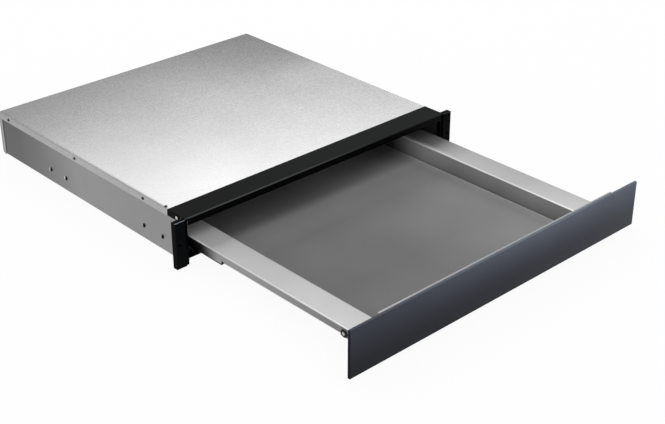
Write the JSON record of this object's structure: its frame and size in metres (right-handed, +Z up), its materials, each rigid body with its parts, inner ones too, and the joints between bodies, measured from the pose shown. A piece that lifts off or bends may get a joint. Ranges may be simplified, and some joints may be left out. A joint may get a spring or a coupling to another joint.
{
  "type": "built-in accessory drawer",
  "caption": "Low built-in drawer for a kitchen cabinet: galvanised housing, black front frame, steel tray with side ledges on telescopic slides, handleless dark front.",
  "frame": {"origin": "centre of the housing's underside", "axes": "+X to the right seen from the front, +Y to the back of the cabinet, +Z up; the drawer opens along -Y"},
  "size_m": [0.594, 0.8835, 0.0789],
  "materials": {
    "galvanised": "galvanised sheet, fine spangle, satin",
    "zinc": "bright zinc-plated steel",
    "stainless": "satin brushed stainless steel",
    "black_paint": "satin black powder coat",
    "black_plastic": "black moulded plastic",
    "black_screw": "black oxide steel",
    "grey_plastic": "grey moulded plastic",
    "ball_steel": "polished steel",
    "cage_brass": "passivated strip",
    "mat_grey": "matt grey non-slip mat",
    "panel_glass": "dark back-painted glass, satin",
    "foam_pad": "dense adhesive foam",
    "spring_steel": "bright spring wire"
  },
  "bodies": {
    "housing": {"base_plate": "galvanised", "side_panel_left": "galvanised", "side_panel_right": "galvanised", "side_flanges_left": "galvanised", "side_flanges_right": "galvanised", "side_tab_left": "galvanised", "side_tab_right": "galvanised", "rear_panel": "galvanised", "top_cover": "galvanised", "front_crossbar": "black_paint", "front_post_left": "black_plastic", "front_post_right": "black_plastic", "front_sill": "black_paint", "cover_screws": "black_screw", "crossbar_screws": "zinc", "post_screws": "zinc", "slide_brackets_left": "zinc", "slide_brackets_right": "zinc", "slide_screws": "zinc", "slide_nuts": "zinc", "slide_outer_left": "zinc", "slide_outer_right": "zinc", "slide_buffers": "black_plastic", "latch_body": "grey_plastic", "latch_rivets": "zinc", "latch_spring": "spring_steel"},
    "plunger": {"latch_plunger": "grey_plastic", "latch_tip": "black_plastic"},
    "drawer": {"latch_striker": "zinc", "tray_side_left": "stainless", "tray_side_right": "stainless", "tray_floor": "stainless", "tray_back": "stainless", "tray_mat": "mat_grey", "front_panel": "panel_glass", "panel_pads": "foam_pad", "panel_carrier": "stainless", "carrier_screws": "zinc", "panel_bracket_left": "stainless", "panel_bracket_right": "stainless", "bracket_screws": "zinc", "bracket_washers": "black_plastic", "slide_hanger_left": "zinc", "slide_hanger_right": "zinc", "slide_inner_left": "zinc", "slide_inner_right": "zinc"},
    "middle_left": {"slide_middle_left": "zinc"},
    "middle_right": {"slide_middle_right": "zinc"},
    "outer_balls_left": {"ball_cage_outer_left": "cage_brass", "balls_outer_left": "ball_steel"},
    "outer_balls_right": {"ball_cage_outer_right": "cage_brass", "balls_outer_right": "ball_steel"},
    "inner_balls_left": {"ball_cage_inner_left": "cage_brass", "balls_inner_left": "ball_steel"},
    "inner_balls_right": {"ball_cage_inner_right": "cage_brass", "balls_inner_right": "ball_steel"}
  },
  "joints": [
    {"name": "drawer_slide", "type": "slide", "parent": "housing", "child": "drawer", "axis": [0, -1, 0], "range_m": [-0.3605, 0.037]},
    {"name": "middle_left_slide", "type": "slide", "parent": "housing", "child": "middle_left", "axis": [0, -1, 0], "range_m": [-0.18025, 0.0185]},
    {"name": "middle_right_slide", "type": "slide", "parent": "housing", "child": "middle_right", "axis": [0, -1, 0], "range_m": [-0.18025, 0.0185]},
    {"name": "outer_balls_left_slide", "type": "slide", "parent": "housing", "child": "outer_balls_left", "axis": [0, -1, 0], "range_m": [-0.09012, 0.00925]},
    {"name": "outer_balls_right_slide", "type": "slide", "parent": "housing", "child": "outer_balls_right", "axis": [0, -1, 0], "range_m": [-0.09012, 0.00925]},
    {"name": "inner_balls_left_slide", "type": "slide", "parent": "housing", "child": "inner_balls_left", "axis": [0, -1, 0], "range_m": [-0.27037, 0.02775]},
    {"name": "inner_balls_right_slide", "type": "slide", "parent": "housing", "child": "inner_balls_right", "axis": [0, -1, 0], "range_m": [-0.27037, 0.02775]},
    {"name": "plunger_push", "type": "slide", "parent": "housing", "child": "plunger", "axis": [0, 1, 0], "range_m": [0, 0.008], "stiffness_N_per_m": 400, "deforming": ["latch_spring"]}
  ],
  "couplings": [
    {"joint": "middle_left_slide", "follows": "drawer_slide", "ratio": 0.5},
    {"joint": "middle_right_slide", "follows": "drawer_slide", "ratio": 0.5},
    {"joint": "outer_balls_left_slide", "follows": "drawer_slide", "ratio": 0.25},
    {"joint": "outer_balls_right_slide", "follows": "drawer_slide", "ratio": 0.25},
    {"joint": "inner_balls_left_slide", "follows": "drawer_slide", "ratio": 0.75},
    {"joint": "inner_balls_right_slide", "follows": "drawer_slide", "ratio": 0.75}
  ]
}
